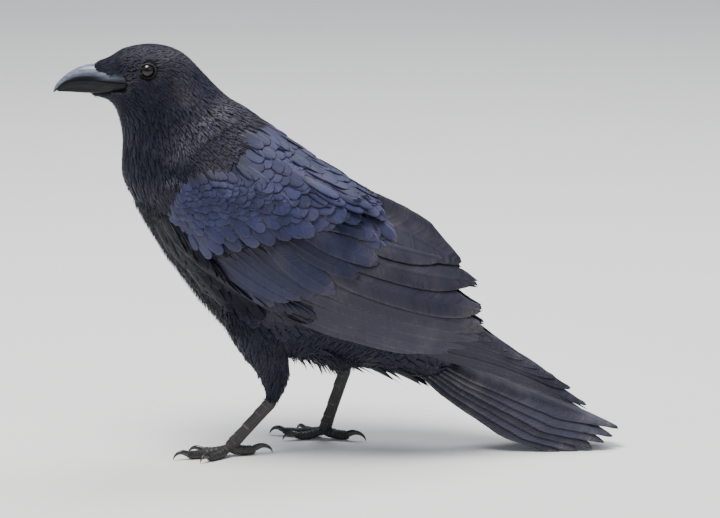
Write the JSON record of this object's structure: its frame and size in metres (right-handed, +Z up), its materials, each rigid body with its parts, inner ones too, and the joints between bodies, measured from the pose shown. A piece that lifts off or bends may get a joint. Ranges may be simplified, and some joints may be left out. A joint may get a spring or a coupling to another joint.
{
  "type": "raven",
  "caption": "Life-size raven standing on both feet in a folded-wing pose, head level, tail lowered to the floor.",
  "frame": {"origin": "on the floor under the middle of the model's bounding box", "axes": "-X the way the bird faces, bill to tail along X; +Y its right side; +Z up"},
  "size_m": [0.533, 0.1588, 0.3866],
  "materials": {
    "body_feathers": "soft black feathers with a faint blue gloss",
    "flight_feathers": "smooth black feathers with a violet-blue sheen",
    "bill_horn": "slate-black horn, worn paler along the ridge",
    "claw_horn": "glossy black horn",
    "leg_skin": "black scaled skin with paler scale edges",
    "eye": "wet dark brown"
  },
  "bodies": {
    "root": {"bill_lower": "bill_horn", "bill_upper": "bill_horn", "claw_left_hind": "claw_horn", "claw_left_inner": "claw_horn", "claw_left_middle": "claw_horn", "claw_left_outer": "claw_horn", "claw_right_hind": "claw_horn", "claw_right_inner": "claw_horn", "claw_right_middle": "claw_horn", "claw_right_outer": "claw_horn", "eye_left": "eye", "eye_right": "eye", "head": "body_feathers", "neck": "body_feathers", "rectrix_left_1": "flight_feathers", "rectrix_left_2": "flight_feathers", "rectrix_left_3": "flight_feathers", "rectrix_left_4": "flight_feathers", "rectrix_left_5": "flight_feathers", "rectrix_left_6": "flight_feathers", "rectrix_right_1": "flight_feathers", "rectrix_right_2": "flight_feathers", "rectrix_right_3": "flight_feathers", "rectrix_right_4": "flight_feathers", "rectrix_right_5": "flight_feathers", "rectrix_right_6": "flight_feathers", "tail_base": "body_feathers", "tarsus_left": "leg_skin", "tarsus_right": "leg_skin", "thigh_left": "body_feathers", "thigh_right": "body_feathers", "toe_left_hind": "leg_skin", "toe_left_inner": "leg_skin", "toe_left_middle": "leg_skin", "toe_left_outer": "leg_skin", "toe_right_hind": "leg_skin", "toe_right_inner": "leg_skin", "toe_right_middle": "leg_skin", "toe_right_outer": "leg_skin", "trunk": "body_feathers", "wing_left_coverts": "flight_feathers", "wing_left_primaries": "flight_feathers", "wing_left_scapulars": "flight_feathers", "wing_left_secondaries": "flight_feathers", "wing_right_coverts": "flight_feathers", "wing_right_primaries": "flight_feathers", "wing_right_scapulars": "flight_feathers", "wing_right_secondaries": "flight_feathers"}
  },
  "joints": []
}
